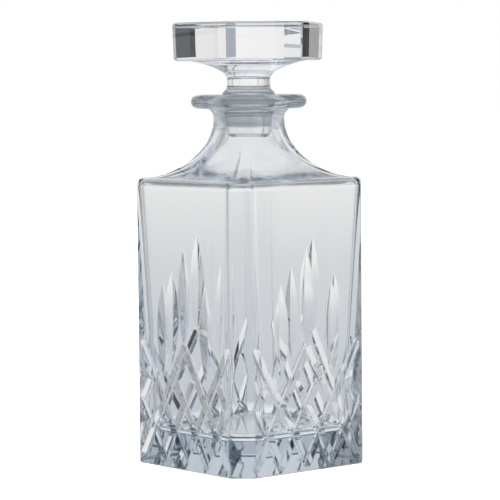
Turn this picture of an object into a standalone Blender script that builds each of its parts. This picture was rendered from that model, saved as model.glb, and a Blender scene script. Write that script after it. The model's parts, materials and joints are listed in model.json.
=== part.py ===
"""Cut crystal decanter: a square, chamfered glass body with a flanged neck, and a solid glass stopper.

The body is one hollow piece of glass. Each of its four faces carries a lattice of V-grooves near the
base and three pointed mitre cuts above it. The stopper is a hexagonal slab on a tapered plug, ground to
fit the bore.
Units are metres, +Z is up, and the origin is the centre of the base.
"""
import math

import bmesh
import bpy
from mathutils import Matrix, Vector
from mathutils.geometry import interpolate_bezier

# Body, outside
BODY_HALF = 0.045
CORNER_LEG = 0.0094
BODY_CORNER = (2 * BODY_HALF - CORNER_LEG) / math.sqrt(2)
WALL_TOP = 0.1422
BASE_EDGE = 0.0009
SHOULDER_EDGE = (0.0540, 0.1461)
SHOULDER_PULL = (0.0395, 0.1461)
NECK_PULL_HEIGHT = 0.158
NECK_RADIUS = 0.0181
NECK_TOP = 0.1765
NECK_FILLET = 0.0045

# Rolled flange round the mouth
FLANGE_RADIUS = 0.0295
FLANGE_EDGE = 0.0040
FLANGE_BOTTOM = 0.1811
FLANGE_TOP = 0.1883

# Body, inside: the walls are thick at the foot and thin at the shoulder
CAVITY_FLOOR = 0.0165
FLOOR_FILLET = 0.0065
CAVITY_WALL_TOP = 0.1385
WALL_AT_FLOOR = 0.0083
WALL_AT_SHOULDER = 0.0024
CORNER_WALL_AT_FLOOR = 0.0122
CORNER_WALL_AT_SHOULDER = 0.0022
CAVITY_SHOULDER = (0.0510, 0.1427)
CAVITY_PULL = (0.0365, 0.1424)
BORE_PULL_HEIGHT = 0.156
BORE_BOTTOM = 0.1715
BORE_BOTTOM_RADIUS = 0.0118
BORE_MOUTH_RADIUS = 0.0138
MOUTH_EDGE = 0.0006

# Lattice of V-grooves, as u across the face and z from the base
HALF_PITCH = 0.0084
LATTICE_RISE = 0.01433
ZIGZAG_HEIGHT = 0.0047
SHORT_GROOVE_TOP = 0.0440
GROOVE_WIDTH = 0.0052
GROOVE_DEPTH = 0.0017
GROOVE_POINT = 0.0030
DEPTH_STEP = 0.00003
PATTERN_SHIFT = 0.0016

# Pointed mitre cuts above the lattice: distance from the pattern's middle line, lowest and highest point
MITRE_CUTS = ((-2 * HALF_PITCH, 0.0460, 0.0945), (0.0, 0.0610, 0.1120), (2 * HALF_PITCH, 0.0460, 0.0945))
MITRE_WIDTH = 0.0095
MITRE_DEPTH = 0.0017

# Stopper
HEAD_SIDES = 6
HEAD_RADIUS = 0.0408
HEAD_TAPER = 0.0007
HEAD_CORNER_EDGE = 0.0050
HEAD_BOTTOM = 0.2052
HEAD_TOP = 0.2246
HEAD_EDGE = 0.0020
HEAD_TURN = math.radians(37.0)
FLARE_RADIUS = 0.0292
FLARE_PULL = (0.0165, 0.2023)
WAIST_PULL_HEIGHT = 0.1995
WAIST_RADIUS = 0.0110
WAIST_BOTTOM = 0.1930
WAIST_TOP = 0.1955
PLUG_GAP = 0.0004
PLUG_SHOULDER = 0.1886
PLUG_BOTTOM = 0.1656
PLUG_BEVEL = 0.0020

# Facets
FACE_STEPS = 5
ROUND_STEPS = 48
CURVE_STEPS = 9
WHEEL_STEPS = 160
WELD_DISTANCE = 0.00002


def clear_scene():
    for thing in list(bpy.data.objects):
        bpy.data.objects.remove(thing)


def new_collection(name):
    collection = bpy.data.collections.new(name)
    bpy.context.scene.collection.children.link(collection)
    return collection


def glass_material(name, colour, roughness):
    material = bpy.data.materials.new(name)
    material.use_nodes = True
    shader = material.node_tree.nodes["Principled BSDF"]
    shader.inputs["Base Color"].default_value = (*colour, 1.0)
    shader.inputs["Roughness"].default_value = roughness
    shader.inputs["Metallic"].default_value = 0.0
    shader.inputs["IOR"].default_value = 1.54
    return material


def add_object(name, mesh, collection):
    thing = bpy.data.objects.new(name, mesh)
    collection.objects.link(thing)
    return thing


def mesh_from(bm, name):
    bmesh.ops.recalc_face_normals(bm, faces=bm.faces)
    mesh = bpy.data.meshes.new(name)
    bm.to_mesh(mesh)
    bm.free()
    return mesh


# --- sections and rings ---

def fold(angle):
    """The same direction measured from the nearest face's middle, 0 to 45 degrees."""
    turned = angle % (math.pi / 2)
    return min(turned, math.pi / 2 - turned)


def cut_square(angle, half, corner):
    """Radius of a square with flat corners: half is the faces' distance, corner the flats'."""
    a = fold(angle)
    return min(half / math.cos(a), corner / math.cos(math.pi / 4 - a))


def ring_angles(half, corner):
    """Directions of a ring's points, with one on every edge between a face and its corner flat."""
    edge = math.atan(math.sqrt(2) * corner / half - 1)
    eighth = [edge * i / FACE_STEPS for i in range(FACE_STEPS + 1)]
    quarter = eighth + [math.pi / 4] + [math.pi / 2 - a for a in reversed(eighth[1:])]
    return [a + k * math.pi / 2 for k in range(4) for a in quarter]


def ring(radius_at, angles, z):
    """The points of a ring at height z, from a function that gives the radius in each direction."""
    return [Vector((radius_at(a) * math.cos(a), radius_at(a) * math.sin(a), z)) for a in angles]


def square_ring(half, corner, z):
    return ring(lambda angle: cut_square(angle, half, corner), ring_angles(half, corner), z)


def round_ring(radius, z):
    return ring(lambda angle: radius, ring_angles(BODY_HALF, BODY_CORNER), z)


def blended_ring(half, corner, neck_radius, corner_radius, z):
    """Between the square section and the round neck; corner_radius is this ring's radius at the corners."""
    share = (corner - corner_radius) / (corner - neck_radius)
    return ring(lambda angle: cut_square(angle, half, corner) * (1 - share) + neck_radius * share,
                ring_angles(half, corner), z)


def bezier(start, pull_start, pull_end, end, steps):
    """Points (radius, z) on a curve from start to end, both included."""
    knots = [Vector((r, z, 0.0)) for r, z in (start, pull_start, pull_end, end)]
    return [(p.x, p.y) for p in interpolate_bezier(*knots, steps)]


def arc(centre, radii, start, end, steps):
    """Points (radius, z) on an elliptical arc between two angles in degrees, both included."""
    points = []
    for i in range(steps + 1):
        a = math.radians(start + (end - start) * i / steps)
        points.append((centre[0] + radii[0] * math.cos(a), centre[1] + radii[1] * math.sin(a)))
    return points


# --- body ---

def outside_rings():
    """Rings from the base edge up the walls, over the shoulder and the neck to the mouth."""
    rings = [square_ring(BODY_HALF - BASE_EDGE, BODY_CORNER - BASE_EDGE, 0.0)]
    rings.append(square_ring(BODY_HALF, BODY_CORNER, BASE_EDGE))
    rings.append(square_ring(BODY_HALF, BODY_CORNER, WALL_TOP))
    edge_r, edge_z = SHOULDER_EDGE
    for r, z in arc((edge_r, WALL_TOP), (BODY_CORNER - edge_r, edge_z - WALL_TOP), 30, 90, 2):
        rings.append(blended_ring(BODY_HALF, BODY_CORNER, NECK_RADIUS, r, z))
    curve = bezier(SHOULDER_EDGE, SHOULDER_PULL, (NECK_RADIUS, NECK_PULL_HEIGHT),
                   (NECK_RADIUS, NECK_TOP), CURVE_STEPS)
    for r, z in curve[1:]:
        rings.append(blended_ring(BODY_HALF, BODY_CORNER, NECK_RADIUS, r, z))
    fillet = arc((NECK_RADIUS + NECK_FILLET, NECK_TOP), (NECK_FILLET, FLANGE_BOTTOM - NECK_TOP), 180, 90, 3)
    mid_height = (FLANGE_BOTTOM + FLANGE_TOP) / 2
    rim = arc((FLANGE_RADIUS - FLANGE_EDGE, mid_height), (FLANGE_EDGE, FLANGE_TOP - mid_height), -90, 90, 6)
    mouth = [(BORE_MOUTH_RADIUS + MOUTH_EDGE, FLANGE_TOP), (BORE_MOUTH_RADIUS, FLANGE_TOP - MOUTH_EDGE)]
    rings += [round_ring(r, z) for r, z in fillet[1:] + rim + mouth]
    return rings


def cavity_size(z):
    """Distances from the axis to the cavity's faces and to its corner flats at height z."""
    share = (z - CAVITY_FLOOR) / (CAVITY_WALL_TOP - CAVITY_FLOOR)
    wall = WALL_AT_FLOOR + (WALL_AT_SHOULDER - WALL_AT_FLOOR) * share
    corner_wall = CORNER_WALL_AT_FLOOR + (CORNER_WALL_AT_SHOULDER - CORNER_WALL_AT_FLOOR) * share
    return BODY_HALF - wall, BODY_CORNER - corner_wall


def inside_rings():
    """Rings from the bottom of the bore down the cavity to the middle of its floor."""
    rings = []
    half, corner = cavity_size(CAVITY_WALL_TOP)
    curve = bezier((BORE_BOTTOM_RADIUS, BORE_BOTTOM), (BORE_BOTTOM_RADIUS, BORE_PULL_HEIGHT), CAVITY_PULL,
                   CAVITY_SHOULDER, CURVE_STEPS)
    for r, z in curve:
        rings.append(blended_ring(half, corner, BORE_BOTTOM_RADIUS, r, z))
    edge_r, edge_z = CAVITY_SHOULDER
    for r, z in arc((edge_r, CAVITY_WALL_TOP), (corner - edge_r, edge_z - CAVITY_WALL_TOP), 90, 0, 4)[1:]:
        rings.append(blended_ring(half, corner, BORE_BOTTOM_RADIUS, r, z))
    fillet_centre = (FLOOR_FILLET, CAVITY_FLOOR + FLOOR_FILLET)
    for inset, z in arc(fillet_centre, (FLOOR_FILLET, FLOOR_FILLET), 180, 270, 4):
        half, corner = cavity_size(z)
        rings.append(square_ring(half - inset, corner - inset, z))
    return rings


def loft(rings):
    """A closed mesh through the rings, with its first and last ring closed by a flat face."""
    bm = bmesh.new()
    rows = [[bm.verts.new(p) for p in ring] for ring in rings]
    count = len(rows[0])
    for lower, upper in zip(rows, rows[1:]):
        for i in range(count):
            j = (i + 1) % count
            bm.faces.new((lower[i], lower[j], upper[j], upper[i]))
    bm.faces.new(list(reversed(rows[0])))
    bm.faces.new(rows[-1])
    return bm


def face_frame(side):
    """Places u, outward distance and z of a face; side 0 looks to -Y, the others follow round."""
    return Matrix.Rotation(side * math.pi / 2, 4, "Z") @ Matrix.Translation((0.0, -BODY_HALF, 0.0))


def pattern_middle(side):
    """The pattern leans a little to the corner that a face shares with its partner."""
    return PATTERN_SHIFT if side % 2 == 0 else -PATTERN_SHIFT


def lattice_lines():
    """The grooves of one face as (start, end), each (u, z) from the pattern's middle line."""
    slope = LATTICE_RISE / HALF_PITCH
    tall = ZIGZAG_HEIGHT + 4 * LATTICE_RISE
    crossing = ZIGZAG_HEIGHT + 2 * LATTICE_RISE
    lines = []
    for turn in (-1, 1):
        reach = (tall - ZIGZAG_HEIGHT) / slope
        lines.append(((0.0, tall), (turn * reach, ZIGZAG_HEIGHT)))
        lines.append(((turn * reach, tall), (0.0, ZIGZAG_HEIGHT)))
        above = (SHORT_GROOVE_TOP - crossing) / slope
        below = (crossing - ZIGZAG_HEIGHT) / slope
        lines.append(((-turn * above, SHORT_GROOVE_TOP), (turn * below, ZIGZAG_HEIGHT)))
        edge = 4 * HALF_PITCH
        lines.append(((turn * (edge - above), SHORT_GROOVE_TOP), (turn * edge, crossing)))
        lines.append(((turn * edge, crossing), (turn * (edge - below), ZIGZAG_HEIGHT)))
    return lines


def groove_cutter(start, end, depth):
    """A pointed rod of diamond section, whose lower edge lies at this depth under the face."""
    (u0, z0), (u1, z1) = start, end
    length = math.hypot(u1 - u0, z1 - z0)
    bm = bmesh.new()
    bmesh.ops.create_cone(bm, cap_ends=True, segments=4, radius1=1.0, radius2=1.0, depth=length)
    caps = [f for f in bm.faces if abs(f.normal.z) > 0.9]
    tips = bmesh.ops.poke(bm, faces=caps)["verts"]
    for tip in tips:
        tip.co.z += math.copysign(GROOVE_POINT, tip.co.z)
    bmesh.ops.scale(bm, vec=(GROOVE_WIDTH / 2, depth, 1.0), verts=bm.verts)
    lean = math.atan2(u1 - u0, z1 - z0)
    place = Matrix.Translation(((u0 + u1) / 2, 0.0, (z0 + z1) / 2)) @ Matrix.Rotation(lean, 4, "Y")
    bmesh.ops.transform(bm, matrix=place, verts=bm.verts)
    return mesh_from(bm, "groove_cutter")


def mitre_wheel(bottom, top):
    """A V-edged cutting wheel in the plane across a face, which bites a pointed cut from bottom to top."""
    length = top - bottom
    radius = (length / 2) ** 2 / (2 * MITRE_DEPTH) + MITRE_DEPTH / 2
    rim_rise = 2 * MITRE_DEPTH
    half = MITRE_WIDTH / 2 / MITRE_DEPTH * rim_rise
    bm = bmesh.new()
    for turn in (-1, 1):
        made = bmesh.ops.create_cone(bm, cap_ends=False, segments=WHEEL_STEPS, radius1=radius,
                                     radius2=radius - rim_rise, depth=half)["verts"]
        if turn < 0:
            bmesh.ops.rotate(bm, verts=made, matrix=Matrix.Rotation(math.pi, 3, "X"))
        bmesh.ops.translate(bm, verts=made, vec=(0.0, 0.0, turn * half / 2))
    bmesh.ops.remove_doubles(bm, verts=bm.verts, dist=1e-6)
    bmesh.ops.holes_fill(bm, edges=[e for e in bm.edges if e.is_boundary])
    stand = Matrix.Rotation(math.pi / 2, 4, "Y")
    place = Matrix.Translation((0.0, MITRE_DEPTH - radius, (bottom + top) / 2))
    bmesh.ops.transform(bm, matrix=place @ stand, verts=bm.verts)
    return mesh_from(bm, "mitre_wheel")


def add_cutters(collection):
    for side in range(4):
        frame = face_frame(side) @ Matrix.Translation((pattern_middle(side), 0.0, 0.0))
        meshes = []
        for number, (start, end) in enumerate(lattice_lines()):
            meshes.append(groove_cutter(start, end, GROOVE_DEPTH - number * DEPTH_STEP))
        for middle, bottom, top in MITRE_CUTS:
            wheel = mitre_wheel(bottom, top)
            wheel.transform(Matrix.Translation((middle, 0.0, 0.0)))
            meshes.append(wheel)
        for number, mesh in enumerate(meshes):
            mesh.transform(frame)
            cutter = add_object(f"cutter_{side}_{number}", mesh, collection)
            cutter.hide_render = True
            cutter.display_type = "WIRE"


def add_body(collection, cutters, material):
    whole = loft(outside_rings() + inside_rings())
    body = add_object("decanter_body", mesh_from(whole, "decanter_body"), collection)
    body.data.materials.append(material)
    cut = body.modifiers.new("cut_pattern", "BOOLEAN")
    cut.operation = "DIFFERENCE"
    cut.solver = "EXACT"
    cut.operand_type = "COLLECTION"
    cut.collection = cutters
    weld = body.modifiers.new("clean", "WELD")
    weld.merge_threshold = WELD_DISTANCE
    body.data.shade_smooth()
    body.data.set_sharp_from_angle(angle=math.radians(30))
    return body


# --- stopper ---

def bore_radius(z):
    share = (z - BORE_BOTTOM) / (FLANGE_TOP - BORE_BOTTOM)
    return BORE_BOTTOM_RADIUS + (BORE_MOUTH_RADIUS - BORE_BOTTOM_RADIUS) * share


def stem_profile():
    """The turned outline (radius, z) from the middle of the head down to the plug's flat end."""
    head_middle = (HEAD_BOTTOM + HEAD_TOP) / 2
    points = [(0.0, head_middle), (FLARE_RADIUS / 2, head_middle), (FLARE_RADIUS, HEAD_BOTTOM + 0.0003)]
    points += bezier((FLARE_RADIUS, HEAD_BOTTOM - 0.0001), FLARE_PULL, (WAIST_RADIUS, WAIST_PULL_HEIGHT),
                     (WAIST_RADIUS, WAIST_TOP), CURVE_STEPS)
    shoulder = bore_radius(PLUG_SHOULDER) - PLUG_GAP
    points += bezier((WAIST_RADIUS, WAIST_BOTTOM), (WAIST_RADIUS, WAIST_BOTTOM - 0.0025),
                     (shoulder - 0.0006, PLUG_SHOULDER + 0.0018), (shoulder, PLUG_SHOULDER), 5)
    end = bore_radius(PLUG_BOTTOM + PLUG_BEVEL) - PLUG_GAP
    points += [(end, PLUG_BOTTOM + PLUG_BEVEL), (end - PLUG_BEVEL, PLUG_BOTTOM), (0.0, PLUG_BOTTOM)]
    return points


def turned(name, profile, collection):
    mesh = bpy.data.meshes.new(name)
    mesh.from_pydata([(r, 0.0, z) for r, z in profile], [(i, i + 1) for i in range(len(profile) - 1)], [])
    thing = add_object(name, mesh, collection)
    screw = thing.modifiers.new("turn", "SCREW")
    screw.axis = "Z"
    screw.steps = ROUND_STEPS
    screw.render_steps = ROUND_STEPS
    screw.use_merge_vertices = True
    screw.merge_threshold = 0.00001
    return thing


def head_slab():
    """The six-sided head, a little narrower at its foot, with flat upright edges."""
    bm = bmesh.new()
    bmesh.ops.create_cone(bm, cap_ends=True, segments=HEAD_SIDES, radius1=HEAD_RADIUS - HEAD_TAPER,
                          radius2=HEAD_RADIUS, depth=HEAD_TOP - HEAD_BOTTOM)
    upright = [e for e in bm.edges if abs(e.verts[0].co.z - e.verts[1].co.z) > HEAD_EDGE]
    bmesh.ops.bevel(bm, geom=upright, offset=HEAD_CORNER_EDGE * math.tan(math.pi / HEAD_SIDES), segments=1,
                    affect="EDGES")
    turn = Matrix.Rotation(HEAD_TURN, 4, "Z")
    place = Matrix.Translation((0.0, 0.0, (HEAD_BOTTOM + HEAD_TOP) / 2))
    bmesh.ops.transform(bm, matrix=place @ turn, verts=bm.verts)
    return mesh_from(bm, "stopper")


def add_stopper(collection, cutters, material):
    stopper = add_object("stopper", head_slab(), collection)
    stopper.data.materials.append(material)
    rounding = stopper.modifiers.new("soft_edges", "BEVEL")
    rounding.width = HEAD_EDGE
    rounding.segments = 2
    rounding.limit_method = "ANGLE"
    rounding.angle_limit = math.radians(40)
    stem = turned("stem", stem_profile(), cutters)
    stem.hide_render = True
    stem.display_type = "WIRE"
    union = stopper.modifiers.new("stem", "BOOLEAN")
    union.operation = "UNION"
    union.solver = "EXACT"
    union.object = stem
    stopper.data.shade_smooth()
    return stopper


def main():
    clear_scene()
    parts = new_collection("cut_crystal_decanter")
    pattern = new_collection("pattern_cutters")
    guides = new_collection("stopper_guides")
    add_cutters(pattern)
    add_body(parts, pattern, glass_material("clear_crystal", (0.90, 0.93, 0.95), 0.02))
    add_stopper(parts, guides, glass_material("stopper_crystal", (0.92, 0.94, 0.96), 0.02))


main()
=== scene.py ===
"""Looks of the cut crystal decanter: its glass, its cuts and its ground joint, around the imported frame."""
import json
import math

import bmesh
import bpy
from mathutils import Matrix, Vector
from mathutils.geometry import interpolate_bezier

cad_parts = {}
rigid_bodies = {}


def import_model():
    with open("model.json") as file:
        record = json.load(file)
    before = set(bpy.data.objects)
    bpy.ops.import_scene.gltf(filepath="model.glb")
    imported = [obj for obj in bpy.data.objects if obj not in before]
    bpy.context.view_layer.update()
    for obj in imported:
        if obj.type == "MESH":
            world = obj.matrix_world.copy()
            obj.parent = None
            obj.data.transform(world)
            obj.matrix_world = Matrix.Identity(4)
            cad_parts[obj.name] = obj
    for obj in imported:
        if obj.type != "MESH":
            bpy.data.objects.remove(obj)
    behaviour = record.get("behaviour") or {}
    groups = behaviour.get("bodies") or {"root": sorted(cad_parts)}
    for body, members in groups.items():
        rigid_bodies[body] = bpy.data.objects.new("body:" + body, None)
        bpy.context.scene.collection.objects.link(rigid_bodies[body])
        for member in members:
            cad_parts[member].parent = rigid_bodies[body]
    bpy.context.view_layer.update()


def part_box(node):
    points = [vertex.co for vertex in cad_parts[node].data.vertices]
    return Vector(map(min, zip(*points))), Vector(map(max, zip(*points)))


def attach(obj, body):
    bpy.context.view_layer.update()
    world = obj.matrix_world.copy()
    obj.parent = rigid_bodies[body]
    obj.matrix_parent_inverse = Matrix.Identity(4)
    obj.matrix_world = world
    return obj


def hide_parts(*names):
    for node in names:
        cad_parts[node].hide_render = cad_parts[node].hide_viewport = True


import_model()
BODY_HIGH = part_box("decanter_body")[1]
STOPPER_LOW, STOPPER_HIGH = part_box("stopper")

# Body, outside, in metres
BODY_HALF = BODY_HIGH.x
CORNER_LEG = 0.0094
BODY_CORNER = (2 * BODY_HALF - CORNER_LEG) / math.sqrt(2)
WALL_TOP = 0.1430
BASE_EDGE = 0.0009
SHOULDER_EDGE = (0.0540, 0.1461)
SHOULDER_PULL = (0.0395, 0.1461)
NECK_PULL_HEIGHT = 0.158
NECK_RADIUS = 0.0181
NECK_TOP = 0.1765
NECK_FILLET = 0.0045
FLANGE_RADIUS = 0.0295
FLANGE_EDGE = 0.0040
FLANGE_BOTTOM = 0.1811
FLANGE_TOP = BODY_HIGH.z

# Body, inside: the walls are thick at the foot and thin at the shoulder
CAVITY_FLOOR = 0.0165
FLOOR_FILLET = 0.0065
CAVITY_WALL_TOP = 0.1415
WALL_AT_FLOOR = 0.0083
WALL_AT_SHOULDER = 0.0024
CORNER_WALL_AT_FLOOR = 0.0122
CORNER_WALL_AT_SHOULDER = 0.0022
CAVITY_SHOULDER = (0.0522, 0.1443)
CAVITY_PULL = (0.0370, 0.1441)
BORE_PULL_HEIGHT = 0.156
BORE_BOTTOM = 0.1715
BORE_BOTTOM_RADIUS = 0.0118
BORE_MOUTH_RADIUS = 0.0138
MOUTH_EDGE = 0.0006
CAVITY_SHARPNESS = 90

# Lattice of V-grooves, as u across the face and z from the base
HALF_PITCH = 0.0084
LATTICE_RISE = 0.01433
ZIGZAG_HEIGHT = 0.0047
SHORT_GROOVE_TOP = 0.0440
GROOVE_WIDTH = 0.0052
GROOVE_DEPTH = 0.0017
GROOVE_POINT = 0.0030
DEPTH_STEP = 0.00003
PATTERN_SHIFT = 0.0016

# Pointed mitre cuts: distance from the pattern's middle line, lowest and highest point
MITRE_CUTS = ((-2 * HALF_PITCH, 0.0460, 0.0945), (0.0, 0.0610, 0.1120), (2 * HALF_PITCH, 0.0460, 0.0945))
MITRE_WIDTH = 0.0095
MITRE_DEPTH = 0.0017

# Stopper
HEAD_SIDES = 6
HEAD_RADIUS = 0.0408
HEAD_TAPER = 0.0007
HEAD_CORNER_EDGE = 0.0050
HEAD_BOTTOM = 0.2052
HEAD_TOP = STOPPER_HIGH.z
HEAD_EDGE = 0.0020
HEAD_TURN = math.radians(37.0)
# The head's edges, told by their faces' normals
HEAD_EDGE_REACH = math.radians(12)
STEEPEST_SIDE = 0.2
FLATTEST_RIM = 0.98
FLARE_RADIUS = 0.0292
FLARE_PULL = (0.0165, 0.2023)
WAIST_PULL_HEIGHT = 0.1995
WAIST_RADIUS = 0.0110
WAIST_BOTTOM = 0.1930
WAIST_TOP = 0.1955
WAIST_PULL = 0.0025
PLUG_PULL = (0.0006, 0.0018)
PLUG_GAP = 0.0004
PLUG_SHOULDER = 0.1886
PLUG_BOTTOM = STOPPER_LOW.z
PLUG_BEVEL = 0.0020
PLUG_GROUND_BOTTOM = 0.1705
PLUG_GROUND_TOP = 0.1908

# Glass: what it absorbs, how soft its cut edges are, how strongly its surface ripples
GLASS_IOR = 1.54
BODY_TINT = (0.75, 0.80, 0.845)
STOPPER_TINT = (0.96, 0.968, 0.972)
TINT_DENSITY = 20.0
CUT_EDGE_RADIUS = 0.0009
BLOWN_RIPPLE = 0.1
POLISHED_RIPPLE = 0.01
HEAD_EDGE_RIPPLE = 0.6
GROUND_ROUGHNESS = (0.07, 0.13)
GROUND_TRANSMISSION = 0.85

# Fineness
FACE_STEPS = 16
CHAMFER_STEPS = 7
ROUND_STEPS = 128
CURVE_STEPS = 40
EDGE_STEPS = 10
WHEEL_STEPS = 720
SHARP_ANGLE = math.radians(13)
WELD_DISTANCE = 0.000004
HEAD_EDGE_SEGMENTS = 8
HEAD_EDGE_ANGLE = math.radians(40)
FLAT_WEIGHT = 60

# Camera: the photograph's view
VIEW_AZIMUTH = math.radians(49.73)
VIEW_DISTANCE = 1.250
VIEW_HEIGHT = 0.1971
VIEW_PITCH = math.radians(4.043)
VIEW_ROLL = math.radians(0.4825)
VIEW_LENS = 176.46


# --- sections and rings ---

def fold(angle):
    turned = angle % (math.pi / 2)
    return min(turned, math.pi / 2 - turned)


def cut_square(angle, half, corner):
    """Radius of a square with flat corners, half away at its faces and corner away at its corner flats."""
    a = fold(angle)
    return min(half / math.cos(a), corner / math.cos(math.pi / 4 - a))


def soft_square(angle, half, corner):
    """The same outline with its edges rounded, as a power mean of its planes."""
    a = fold(angle)
    planes = (math.cos(a) / half, math.cos(math.pi / 4 - a) / corner)
    return sum(plane ** CAVITY_SHARPNESS for plane in planes) ** (-1 / CAVITY_SHARPNESS)


def ring_angles(half, corner):
    """Directions of a ring's points: dense towards the edges of the corner flats, with one on each edge."""
    edge = math.atan(math.sqrt(2) * corner / half - 1)
    flat = math.pi / 4 - edge
    eighth = [edge * (1 - (1 - i / FACE_STEPS) ** 1.7) for i in range(FACE_STEPS + 1)]
    eighth += [edge + flat * (i / CHAMFER_STEPS) ** 1.7 for i in range(1, CHAMFER_STEPS)]
    quarter = eighth + [math.pi / 4] + [math.pi / 2 - a for a in reversed(eighth[1:])]
    return [a + k * math.pi / 2 for k in range(4) for a in quarter]


ROUND_ANGLES = ring_angles(BODY_HALF, BODY_CORNER)


def ring(radius_at, angles, z):
    return [Vector((radius_at(a) * math.cos(a), radius_at(a) * math.sin(a), z)) for a in angles]


def square_ring(section, half, corner, z):
    return ring(lambda angle: section(angle, half, corner), ring_angles(half, corner), z)


def round_ring(radius, z):
    return ring(lambda angle: radius, ROUND_ANGLES, z)


def blended_ring(section, half, corner, neck_radius, corner_radius, z):
    """Between the square section and the round neck; corner_radius is this ring's radius at the corners."""
    full = section(math.pi / 4, half, corner)
    share = (full - corner_radius) / (full - neck_radius)
    return ring(lambda angle: section(angle, half, corner) * (1 - share) + neck_radius * share,
                ring_angles(half, corner), z)


def bezier(start, pull_start, pull_end, end, steps):
    knots = [Vector((r, z, 0.0)) for r, z in (start, pull_start, pull_end, end)]
    return [(p.x, p.y) for p in interpolate_bezier(*knots, steps)]


def arc(centre, radii, start, end, steps):
    points = []
    for i in range(steps + 1):
        a = math.radians(start + (end - start) * i / steps)
        points.append((centre[0] + radii[0] * math.cos(a), centre[1] + radii[1] * math.sin(a)))
    return points


def outside_rings():
    rings = []
    for inset, z in arc((BASE_EDGE, BASE_EDGE), (BASE_EDGE, BASE_EDGE), 270, 180, 8):
        rings.append(square_ring(cut_square, BODY_HALF - inset, BODY_CORNER - inset, z))
    rings.append(square_ring(cut_square, BODY_HALF, BODY_CORNER, WALL_TOP))
    edge_r, edge_z = SHOULDER_EDGE
    edge = arc((edge_r, WALL_TOP), (BODY_CORNER - edge_r, edge_z - WALL_TOP), 0, 90, EDGE_STEPS)
    for r, z in edge[1:]:
        rings.append(blended_ring(cut_square, BODY_HALF, BODY_CORNER, NECK_RADIUS, r, z))
    neck_pull = (NECK_RADIUS, NECK_PULL_HEIGHT)
    curve = bezier(SHOULDER_EDGE, SHOULDER_PULL, neck_pull, (NECK_RADIUS, NECK_TOP), CURVE_STEPS)
    for r, z in curve[1:]:
        rings.append(blended_ring(cut_square, BODY_HALF, BODY_CORNER, NECK_RADIUS, r, z))
    fillet = arc((NECK_RADIUS + NECK_FILLET, NECK_TOP), (NECK_FILLET, FLANGE_BOTTOM - NECK_TOP), 180, 90,
                 EDGE_STEPS)
    mid_height = (FLANGE_BOTTOM + FLANGE_TOP) / 2
    rim = arc((FLANGE_RADIUS - FLANGE_EDGE, mid_height), (FLANGE_EDGE, FLANGE_TOP - mid_height), -90, 90,
              2 * EDGE_STEPS)
    mouth = arc((BORE_MOUTH_RADIUS + MOUTH_EDGE, FLANGE_TOP - MOUTH_EDGE), (MOUTH_EDGE, MOUTH_EDGE), 90, 180,
                EDGE_STEPS)
    rings += [round_ring(r, z) for r, z in fillet[1:] + rim + mouth]
    return rings


def cavity_size(z):
    """Distances from the axis to the cavity's faces and to its corner flats at height z."""
    share = (z - CAVITY_FLOOR) / (CAVITY_WALL_TOP - CAVITY_FLOOR)
    wall = WALL_AT_FLOOR + (WALL_AT_SHOULDER - WALL_AT_FLOOR) * share
    corner_wall = CORNER_WALL_AT_FLOOR + (CORNER_WALL_AT_SHOULDER - CORNER_WALL_AT_FLOOR) * share
    return BODY_HALF - wall, BODY_CORNER - corner_wall


def inside_rings():
    rings = []
    half, corner = cavity_size(CAVITY_WALL_TOP)
    curve = bezier((BORE_BOTTOM_RADIUS, BORE_BOTTOM), (BORE_BOTTOM_RADIUS, BORE_PULL_HEIGHT), CAVITY_PULL,
                   CAVITY_SHOULDER, CURVE_STEPS)
    for r, z in curve:
        rings.append(blended_ring(soft_square, half, corner, BORE_BOTTOM_RADIUS, r, z))
    full = soft_square(math.pi / 4, half, corner)
    edge_r, edge_z = CAVITY_SHOULDER
    edge = arc((edge_r, CAVITY_WALL_TOP), (full - edge_r, edge_z - CAVITY_WALL_TOP), 90, 0, EDGE_STEPS)
    for r, z in edge[1:]:
        rings.append(blended_ring(soft_square, half, corner, BORE_BOTTOM_RADIUS, r, z))
    fillet_centre = (FLOOR_FILLET, CAVITY_FLOOR + FLOOR_FILLET)
    for inset, z in arc(fillet_centre, (FLOOR_FILLET, FLOOR_FILLET), 180, 270, EDGE_STEPS):
        half, corner = cavity_size(z)
        rings.append(square_ring(soft_square, half - inset, corner - inset, z))
    return rings


def loft(rings):
    bm = bmesh.new()
    rows = [[bm.verts.new(p) for p in points] for points in rings]
    count = len(ROUND_ANGLES)
    for lower, upper in zip(rows, rows[1:]):
        for i in range(count):
            j = (i + 1) % count
            bm.faces.new((lower[i], lower[j], upper[j], upper[i]))
    bm.faces.new(list(reversed(rows[0])))
    bm.faces.new(rows[-1])
    return bm


# --- cut pattern ---

def lattice_lines():
    slope = LATTICE_RISE / HALF_PITCH
    tall = ZIGZAG_HEIGHT + 4 * LATTICE_RISE
    crossing = ZIGZAG_HEIGHT + 2 * LATTICE_RISE
    lines = []
    for turn in (-1, 1):
        reach = (tall - ZIGZAG_HEIGHT) / slope
        lines.append(((0.0, tall), (turn * reach, ZIGZAG_HEIGHT)))
        lines.append(((turn * reach, tall), (0.0, ZIGZAG_HEIGHT)))
        above = (SHORT_GROOVE_TOP - crossing) / slope
        below = (crossing - ZIGZAG_HEIGHT) / slope
        lines.append(((-turn * above, SHORT_GROOVE_TOP), (turn * below, ZIGZAG_HEIGHT)))
        edge = 4 * HALF_PITCH
        lines.append(((turn * (edge - above), SHORT_GROOVE_TOP), (turn * edge, crossing)))
        lines.append(((turn * edge, crossing), (turn * (edge - below), ZIGZAG_HEIGHT)))
    return lines


def mesh_from(bm, name):
    bmesh.ops.recalc_face_normals(bm, faces=bm.faces)
    mesh = bpy.data.meshes.new(name)
    bm.to_mesh(mesh)
    bm.free()
    return mesh


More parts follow.
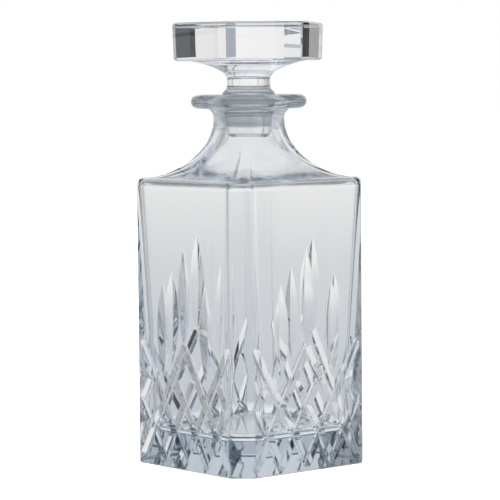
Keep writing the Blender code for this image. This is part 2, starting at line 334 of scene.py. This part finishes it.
def groove_cutter(start, end, depth):
    (u0, z0), (u1, z1) = start, end
    length = math.hypot(u1 - u0, z1 - z0)
    bm = bmesh.new()
    bmesh.ops.create_cone(bm, cap_ends=True, segments=4, radius1=1.0, radius2=1.0, depth=length)
    caps = [f for f in bm.faces if abs(f.normal.z) > 0.9]
    tips = bmesh.ops.poke(bm, faces=caps)["verts"]
    for tip in tips:
        tip.co.z += math.copysign(GROOVE_POINT, tip.co.z)
    bmesh.ops.scale(bm, vec=(GROOVE_WIDTH / 2, depth, 1.0), verts=bm.verts)
    lean = math.atan2(u1 - u0, z1 - z0)
    place = Matrix.Translation(((u0 + u1) / 2, 0.0, (z0 + z1) / 2)) @ Matrix.Rotation(lean, 4, "Y")
    bmesh.ops.transform(bm, matrix=place, verts=bm.verts)
    return mesh_from(bm, "groove_cutter")


def mitre_wheel(bottom, top):
    length = top - bottom
    radius = (length / 2) ** 2 / (2 * MITRE_DEPTH) + MITRE_DEPTH / 2
    rim_rise = 2 * MITRE_DEPTH
    half = MITRE_WIDTH / 2 / MITRE_DEPTH * rim_rise
    bm = bmesh.new()
    for turn in (-1, 1):
        made = bmesh.ops.create_cone(bm, cap_ends=False, segments=WHEEL_STEPS, radius1=radius,
                                     radius2=radius - rim_rise, depth=half)["verts"]
        if turn < 0:
            bmesh.ops.rotate(bm, verts=made, matrix=Matrix.Rotation(math.pi, 3, "X"))
        bmesh.ops.translate(bm, verts=made, vec=(0.0, 0.0, turn * half / 2))
    bmesh.ops.remove_doubles(bm, verts=bm.verts, dist=1e-6)
    bmesh.ops.holes_fill(bm, edges=[e for e in bm.edges if e.is_boundary])
    on_edge = Matrix.Rotation(math.pi / 2, 4, "Y")
    place = Matrix.Translation((0.0, MITRE_DEPTH - radius, (bottom + top) / 2)) @ on_edge
    bmesh.ops.transform(bm, matrix=place, verts=bm.verts)
    return mesh_from(bm, "mitre_wheel")


def add_object(name, mesh, collection=None):
    thing = bpy.data.objects.new(name, mesh)
    (collection or bpy.context.scene.collection).objects.link(thing)
    return thing


def add_cutters(collection):
    for side in range(4):
        shift = PATTERN_SHIFT if side % 2 == 0 else -PATTERN_SHIFT
        place = Matrix.Rotation(side * math.pi / 2, 4, "Z") @ Matrix.Translation((shift, -BODY_HALF, 0.0))
        meshes = []
        for number, (start, end) in enumerate(lattice_lines()):
            meshes.append(groove_cutter(start, end, GROOVE_DEPTH - number * DEPTH_STEP))
        for middle, bottom, top in MITRE_CUTS:
            wheel = mitre_wheel(bottom, top)
            wheel.transform(Matrix.Translation((middle, 0.0, 0.0)))
            meshes.append(wheel)
        for number, mesh in enumerate(meshes):
            mesh.transform(place)
            add_object(f"cutter_{side}_{number}", mesh, collection)


def apply_modifiers(thing):
    bpy.context.view_layer.update()
    evaluated = thing.evaluated_get(bpy.context.evaluated_depsgraph_get())
    mesh = bpy.data.meshes.new_from_object(evaluated)
    thing.modifiers.clear()
    thing.data = mesh
    return mesh


def remove_collection(collection):
    for thing in list(collection.objects):
        bpy.data.objects.remove(thing)
    bpy.data.collections.remove(collection)


def finish_mesh(mesh, materials, is_ground):
    """Gives each face the first material, or the second where it is ground, and sets the shading."""
    mesh.materials.clear()
    for material in materials:
        mesh.materials.append(material)
    for face in mesh.polygons:
        face.material_index = 1 if is_ground(face) else 0
    mesh.shade_smooth()
    mesh.set_sharp_from_angle(angle=SHARP_ANGLE)


def hold_flats(thing):
    """Keeps the shading of wide flat faces flat, and leaves all bending to the narrow faces between them."""
    hold = thing.modifiers.new("hold_flats", "WEIGHTED_NORMAL")
    hold.keep_sharp = True
    hold.weight = FLAT_WEIGHT
    apply_modifiers(thing)


def is_ground_bore(face):
    r = math.hypot(face.center.x, face.center.y)
    return BORE_BOTTOM < face.center.z < FLANGE_TOP - 0.0001 and r < BORE_MOUTH_RADIUS + 0.0001


def is_ground_plug(face):
    return PLUG_GROUND_BOTTOM < face.center.z < PLUG_GROUND_TOP


def make_body(clear, ground):
    cutters = bpy.data.collections.new("cutters")
    bpy.context.scene.collection.children.link(cutters)
    add_cutters(cutters)
    body = add_object("crystal_body", mesh_from(loft(outside_rings() + inside_rings()), "crystal_body"))
    cut = body.modifiers.new("cut_pattern", "BOOLEAN")
    cut.operation = "DIFFERENCE"
    cut.solver = "EXACT"
    cut.operand_type = "COLLECTION"
    cut.collection = cutters
    weld = body.modifiers.new("clean", "WELD")
    weld.merge_threshold = WELD_DISTANCE
    mesh = apply_modifiers(body)
    remove_collection(cutters)
    finish_mesh(mesh, (clear, ground), is_ground_bore)
    hold_flats(body)
    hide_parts("decanter_body")
    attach(body, "decanter")
    return body


# --- stopper ---

def bore_radius(z):
    share = (z - BORE_BOTTOM) / (FLANGE_TOP - BORE_BOTTOM)
    return BORE_BOTTOM_RADIUS + (BORE_MOUTH_RADIUS - BORE_BOTTOM_RADIUS) * share


def stem_profile():
    head_middle = (HEAD_BOTTOM + HEAD_TOP) / 2
    points = [(0.0, head_middle), (FLARE_RADIUS / 2, head_middle), (FLARE_RADIUS, HEAD_BOTTOM + 0.0003)]
    points += bezier((FLARE_RADIUS, HEAD_BOTTOM - 0.0001), FLARE_PULL, (WAIST_RADIUS, WAIST_PULL_HEIGHT),
                     (WAIST_RADIUS, WAIST_TOP), CURVE_STEPS)
    shoulder = bore_radius(PLUG_SHOULDER) - PLUG_GAP
    points += bezier((WAIST_RADIUS, WAIST_BOTTOM), (WAIST_RADIUS, WAIST_BOTTOM - WAIST_PULL),
                     (shoulder - PLUG_PULL[0], PLUG_SHOULDER + PLUG_PULL[1]), (shoulder, PLUG_SHOULDER),
                     CURVE_STEPS // 2)
    end = bore_radius(PLUG_BOTTOM + PLUG_BEVEL) - PLUG_GAP
    ground = bore_radius(PLUG_GROUND_BOTTOM) - PLUG_GAP
    points += [(ground, PLUG_GROUND_BOTTOM), (end, PLUG_BOTTOM + PLUG_BEVEL)]
    points += [(end - PLUG_BEVEL, PLUG_BOTTOM), (0.0, PLUG_BOTTOM)]
    return points


def turned(name, profile):
    mesh = bpy.data.meshes.new(name)
    mesh.from_pydata([(r, 0.0, z) for r, z in profile], [(i, i + 1) for i in range(len(profile) - 1)], [])
    thing = add_object(name, mesh)
    screw = thing.modifiers.new("turn", "SCREW")
    screw.axis = "Z"
    screw.steps = ROUND_STEPS
    screw.render_steps = ROUND_STEPS
    screw.use_merge_vertices = True
    screw.merge_threshold = 0.00001
    return thing


def head_slab(name):
    """Six-sided slab, a little narrower at its foot, with flat upright edges."""
    bm = bmesh.new()
    bmesh.ops.create_cone(bm, cap_ends=True, segments=HEAD_SIDES, radius1=HEAD_RADIUS - HEAD_TAPER,
                          radius2=HEAD_RADIUS, depth=HEAD_TOP - HEAD_BOTTOM)
    upright = [e for e in bm.edges if abs(e.verts[0].co.z - e.verts[1].co.z) > HEAD_EDGE]
    bmesh.ops.bevel(bm, geom=upright, offset=HEAD_CORNER_EDGE * math.tan(math.pi / HEAD_SIDES), segments=1,
                    affect="EDGES")
    turn = Matrix.Rotation(HEAD_TURN, 4, "Z")
    place = Matrix.Translation((0, 0, (HEAD_BOTTOM + HEAD_TOP) / 2)) @ turn
    bmesh.ops.transform(bm, matrix=place, verts=bm.verts)
    return mesh_from(bm, name)


def is_head_edge(face):
    """True on the head's flat upright edges and on its rounded rims."""
    if face.center.z < HEAD_BOTTOM:
        return False
    lean = abs(face.normal.z)
    if lean > STEEPEST_SIDE:
        return lean < FLATTEST_RIM
    pitch = 2 * math.pi / HEAD_SIDES
    off = (math.atan2(face.normal.y, face.normal.x) - HEAD_TURN + math.pi / 2 - pitch / 2) % pitch
    return abs(off - pitch / 2) < HEAD_EDGE_REACH


def make_stopper(clear, rippled, ground):
    stopper = add_object("crystal_stopper", head_slab("crystal_stopper"))
    rounding = stopper.modifiers.new("soft_edges", "BEVEL")
    rounding.width = HEAD_EDGE
    rounding.segments = HEAD_EDGE_SEGMENTS
    rounding.limit_method = "ANGLE"
    rounding.angle_limit = HEAD_EDGE_ANGLE
    stem = turned("stem", stem_profile())
    union = stopper.modifiers.new("stem", "BOOLEAN")
    union.operation = "UNION"
    union.solver = "EXACT"
    union.object = stem
    mesh = apply_modifiers(stopper)
    bpy.data.objects.remove(stem)
    finish_mesh(mesh, (clear, ground, rippled), is_ground_plug)
    for face in mesh.polygons:
        if is_head_edge(face):
            face.material_index = 2
    hold_flats(stopper)
    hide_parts("stopper")
    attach(stopper, "stopper")
    return stopper


# --- materials ---

def node(tree, kind, **values):
    made = tree.nodes.new(kind)
    for name, value in values.items():
        setattr(made, name, value)
    return made


def crystal_material(name, absorption, ripple_strength, edge_radius=0.0):
    """Clear crystal, with a faintly uneven surface and, when edge_radius is given, softened cut edges."""
    material = bpy.data.materials.new(name)
    material.use_nodes = True
    tree = material.node_tree
    shader = tree.nodes["Principled BSDF"]
    shader.inputs["Transmission Weight"].default_value = 1.0
    shader.inputs["IOR"].default_value = GLASS_IOR
    shader.inputs["Roughness"].default_value = 0.0
    place = node(tree, "ShaderNodeTexCoord")
    cloud = node(tree, "ShaderNodeTexNoise")
    cloud.inputs["Scale"].default_value = 40.0
    ramp = node(tree, "ShaderNodeValToRGB")
    ramp.color_ramp.elements[0].color = (0.99, 0.993, 0.995, 1.0)
    ramp.color_ramp.elements[1].color = (1.0, 1.0, 1.0, 1.0)
    tree.links.new(place.outputs["Object"], cloud.inputs["Vector"])
    tree.links.new(cloud.outputs["Fac"], ramp.inputs["Fac"])
    tree.links.new(ramp.outputs["Color"], shader.inputs["Base Color"])
    ripple = node(tree, "ShaderNodeTexNoise")
    ripple.inputs["Scale"].default_value = 55.0
    bump = node(tree, "ShaderNodeBump")
    bump.inputs["Strength"].default_value = ripple_strength
    bump.inputs["Distance"].default_value = 0.0002
    tree.links.new(place.outputs["Object"], ripple.inputs["Vector"])
    tree.links.new(ripple.outputs["Fac"], bump.inputs["Height"])
    tree.links.new(bump.outputs["Normal"], shader.inputs["Normal"])
    if edge_radius:
        edges = node(tree, "ShaderNodeBevel")
        edges.inputs["Radius"].default_value = edge_radius
        tree.links.new(edges.outputs["Normal"], bump.inputs["Normal"])
    volume = node(tree, "ShaderNodeVolumeAbsorption")
    volume.inputs["Color"].default_value = (*absorption, 1.0)
    volume.inputs["Density"].default_value = TINT_DENSITY
    output = tree.nodes["Material Output"]
    tree.links.new(volume.outputs["Volume"], output.inputs["Volume"])
    return material


def ground_material(name):
    """Matt ground crystal, as on the bore and the plug."""
    material = bpy.data.materials.new(name)
    material.use_nodes = True
    tree = material.node_tree
    shader = tree.nodes["Principled BSDF"]
    shader.inputs["Transmission Weight"].default_value = GROUND_TRANSMISSION
    shader.inputs["IOR"].default_value = GLASS_IOR
    place = node(tree, "ShaderNodeTexCoord")
    grain = node(tree, "ShaderNodeTexNoise")
    grain.inputs["Scale"].default_value = 900.0
    tint = node(tree, "ShaderNodeValToRGB")
    tint.color_ramp.elements[0].color = (0.94, 0.96, 0.98, 1.0)
    tint.color_ramp.elements[1].color = (1.0, 1.0, 1.0, 1.0)
    rough = node(tree, "ShaderNodeMapRange")
    rough.inputs["To Min"].default_value = GROUND_ROUGHNESS[0]
    rough.inputs["To Max"].default_value = GROUND_ROUGHNESS[1]
    bump = node(tree, "ShaderNodeBump")
    bump.inputs["Strength"].default_value = 0.3
    bump.inputs["Distance"].default_value = 0.0001
    tree.links.new(place.outputs["Object"], grain.inputs["Vector"])
    tree.links.new(grain.outputs["Fac"], tint.inputs["Fac"])
    tree.links.new(tint.outputs["Color"], shader.inputs["Base Color"])
    tree.links.new(grain.outputs["Fac"], rough.inputs["Value"])
    tree.links.new(rough.outputs["Result"], shader.inputs["Roughness"])
    tree.links.new(grain.outputs["Fac"], bump.inputs["Height"])
    tree.links.new(bump.outputs["Normal"], shader.inputs["Normal"])
    return material


# --- studio ---

# Studio brightness by compass direction, in degrees to the right of the view
SIDE_STOPS = (
    (-180, 0.45), (-64, 0.50), (-56, 0.50), (-44, 0.70), (-30, 0.86), (-15, 1.00), (15, 1.00), (30, 0.92),
    (50, 0.88), (64, 0.78), (115, 0.70), (128, 1.00), (158, 1.00), (165, 0.45), (180, 0.45),
)
# Flags with crisp edges beside the backdrop: middle, half width, brightness
FLAGS = (
    (39.20, 0.99, 0.06), (40.27, 0.08, 0.01), (17.10, 0.30, 0.45), (-18.60, 0.50, 0.0), (-39.40, 0.60, 0.0),
    (-49.80, 1.00, 0.05),
)
# How far a direction belongs to the dim room on the camera's side
ROOM_STOPS = ((-180, 1.0), (-68, 1.0), (-60, 0.0), (60, 0.0), (68, 1.0), (180, 1.0))
# Colour by height above level, in degrees, for the backdrop's side and for the room
BACKDROP_STOPS = (
    (-90, (0.98, 0.99, 1.00)), (-38, (0.98, 0.99, 1.00)), (-29, (0.86, 0.90, 0.95)),
    (-20, (0.62, 0.67, 0.73)), (-12, (0.60, 0.64, 0.68)), (-8, (0.72, 0.73, 0.75)),
    (-5, (1.00, 0.99, 0.96)), (-2, (0.94, 0.93, 0.92)), (2, (0.94, 0.93, 0.92)),
    (24, (0.97, 0.97, 0.97)), (34, (0.66, 0.71, 0.77)), (90, (0.80, 0.82, 0.84)),
)
DIM_ROOM_STOPS = (
    (-90, (0.30, 0.36, 0.43)), (-48, (0.30, 0.36, 0.43)), (-24, (0.90, 0.92, 0.94)),
    (-10, (0.95, 0.95, 0.95)), (14, (0.92, 0.92, 0.92)), (18, (0.06, 0.09, 0.14)),
    (35, (0.08, 0.12, 0.18)), (90, (0.35, 0.40, 0.45)),
)


def set_stops(ramp, stops):
    while len(ramp.elements) > 1:
        ramp.elements.remove(ramp.elements[-1])
    ramp.elements[0].position = stops[0][0]
    ramp.elements[0].color = (*stops[0][1], 1.0)
    for position, colour in stops[1:]:
        ramp.elements.new(position).color = (*colour, 1.0)


def side_ramp(tree, share, stops):
    ramp = node(tree, "ShaderNodeValToRGB")
    set_stops(ramp.color_ramp, [((a + 180) / 360, (v, v, v)) for a, v in stops])
    tree.links.new(share.outputs["Result"], ramp.inputs["Fac"])
    return ramp.outputs["Color"]


def height_ramp(tree, rise, stops):
    ramp = node(tree, "ShaderNodeValToRGB")
    set_stops(ramp.color_ramp, [((math.sin(math.radians(a)) + 1) / 2, colour) for a, colour in stops])
    tree.links.new(rise.outputs["Result"], ramp.inputs["Fac"])
    return ramp.outputs["Color"]


def add_flag(tree, angle, side, middle, reach, brightness):
    inside = node(tree, "ShaderNodeMath", operation="COMPARE")
    inside.inputs[1].default_value = math.radians(-middle)
    inside.inputs[2].default_value = math.radians(reach)
    shade = node(tree, "ShaderNodeMix", data_type="RGBA")
    shade.inputs["B"].default_value = (brightness, 1.08 * brightness, 1.25 * brightness, 1.0)
    tree.links.new(angle.outputs["Value"], inside.inputs[0])
    tree.links.new(inside.outputs["Value"], shade.inputs["Factor"])
    tree.links.new(side, shade.inputs["A"])
    return shade.outputs["Result"]


def make_world():
    """A studio all round, seen only through and on the glass; the camera itself sees plain white."""
    world = bpy.data.worlds.new("studio")
    bpy.context.scene.world = world
    world.use_nodes = True
    tree = world.node_tree
    tree.nodes.clear()
    place = node(tree, "ShaderNodeTexCoord")
    turn = node(tree, "ShaderNodeVectorRotate", rotation_type="Z_AXIS")
    turn.inputs["Angle"].default_value = -math.pi / 2 - VIEW_AZIMUTH
    split = node(tree, "ShaderNodeSeparateXYZ")
    angle = node(tree, "ShaderNodeMath", operation="ARCTAN2")
    share = node(tree, "ShaderNodeMapRange")
    share.inputs["From Min"].default_value = math.pi
    share.inputs["From Max"].default_value = -math.pi
    rise = node(tree, "ShaderNodeMapRange")
    rise.inputs["From Min"].default_value = -1.0
    rise.inputs["From Max"].default_value = 1.0
    height = node(tree, "ShaderNodeMix", data_type="RGBA")
    product = node(tree, "ShaderNodeMix", data_type="RGBA", blend_type="MULTIPLY")
    product.inputs["Factor"].default_value = 1.0
    studio = node(tree, "ShaderNodeBackground")
    plain = node(tree, "ShaderNodeBackground")
    plain.inputs["Color"].default_value = (1.0, 1.0, 1.0, 1.0)
    path = node(tree, "ShaderNodeLightPath")
    pick = node(tree, "ShaderNodeMixShader")
    output = node(tree, "ShaderNodeOutputWorld")
    links = tree.links
    links.new(place.outputs["Generated"], turn.inputs["Vector"])
    links.new(turn.outputs["Vector"], split.inputs["Vector"])
    links.new(split.outputs["Y"], angle.inputs[0])
    links.new(split.outputs["X"], angle.inputs[1])
    links.new(angle.outputs["Value"], share.inputs["Value"])
    links.new(split.outputs["Z"], rise.inputs["Value"])
    links.new(side_ramp(tree, share, ROOM_STOPS), height.inputs["Factor"])
    links.new(height_ramp(tree, rise, BACKDROP_STOPS), height.inputs["A"])
    links.new(height_ramp(tree, rise, DIM_ROOM_STOPS), height.inputs["B"])
    side = side_ramp(tree, share, SIDE_STOPS)
    for middle, reach, brightness in FLAGS:
        side = add_flag(tree, angle, side, middle, reach, brightness)
    links.new(side, product.inputs["A"])
    links.new(height.outputs["Result"], product.inputs["B"])
    links.new(product.outputs["Result"], studio.inputs["Color"])
    links.new(path.outputs["Is Camera Ray"], pick.inputs["Fac"])
    links.new(studio.outputs["Background"], pick.inputs[1])
    links.new(plain.outputs["Background"], pick.inputs[2])
    links.new(pick.outputs["Shader"], output.inputs["Surface"])


def make_floor():
    bm = bmesh.new()
    bmesh.ops.create_grid(bm, x_segments=1, y_segments=1, size=8.0)
    floor = add_object("floor", mesh_from(bm, "floor"))
    floor.location.z = -0.0002
    material = bpy.data.materials.new("pale_floor")
    material.use_nodes = True
    tree = material.node_tree
    shader = tree.nodes["Principled BSDF"]
    shader.inputs["Base Color"].default_value = (0.95, 0.95, 0.95, 1.0)
    shader.inputs["Roughness"].default_value = 1.0
    shader.inputs["Specular IOR Level"].default_value = 0.0
    shader.inputs["Emission Color"].default_value = (1.0, 1.0, 1.0, 1.0)
    shader.inputs["Emission Strength"].default_value = 0.9
    floor.data.materials.append(material)
    floor.visible_transmission = False
    floor.visible_glossy = False


def make_light(name, position, size, watts):
    data = bpy.data.lights.new(name, "AREA")
    data.shape = "SQUARE"
    data.size = size
    data.energy = watts
    light = bpy.data.objects.new(name, data)
    bpy.context.scene.collection.objects.link(light)
    light.location = position
    light.rotation_euler = (-Vector(position)).to_track_quat("-Z", "Y").to_euler()
    light.visible_glossy = False
    light.visible_transmission = False
    return light


def make_camera():
    data = bpy.data.cameras.new("camera")
    data.lens = VIEW_LENS
    data.sensor_width = 36.0
    camera = bpy.data.objects.new("camera", data)
    bpy.context.scene.collection.objects.link(camera)
    toward = Vector((-math.sin(VIEW_AZIMUTH), math.cos(VIEW_AZIMUTH), 0.0))
    forward = (toward * math.cos(VIEW_PITCH) - Vector((0, 0, 1)) * math.sin(VIEW_PITCH)).normalized()
    level = toward.cross(Vector((0, 0, 1))).normalized()
    upright = level.cross(forward).normalized()
    right = level * math.cos(VIEW_ROLL) - upright * math.sin(VIEW_ROLL)
    up = level * math.sin(VIEW_ROLL) + upright * math.cos(VIEW_ROLL)
    turn = Matrix((right, up, -forward)).transposed().to_4x4()
    camera.matrix_world = Matrix.Translation(-toward * VIEW_DISTANCE + Vector((0, 0, VIEW_HEIGHT))) @ turn
    bpy.context.scene.camera = camera


def set_light_paths():
    cycles = bpy.context.scene.cycles
    cycles.max_bounces = 32
    cycles.transmission_bounces = 32
    cycles.glossy_bounces = 16
    cycles.diffuse_bounces = 3
    bpy.context.scene.view_settings.view_transform = "Standard"


def main():
    blown = crystal_material("blown_crystal", BODY_TINT, BLOWN_RIPPLE, CUT_EDGE_RADIUS)
    polished = crystal_material("polished_crystal", STOPPER_TINT, POLISHED_RIPPLE)
    rippled = crystal_material("rippled_crystal", STOPPER_TINT, HEAD_EDGE_RIPPLE)
    ground = ground_material("ground_crystal")
    make_body(blown, ground)
    make_stopper(polished, rippled, ground)
    make_world()
    make_floor()
    make_light("overhead", (0.3, -0.4, 2.2), 2.5, 120.0)
    make_camera()
    set_light_paths()


main()
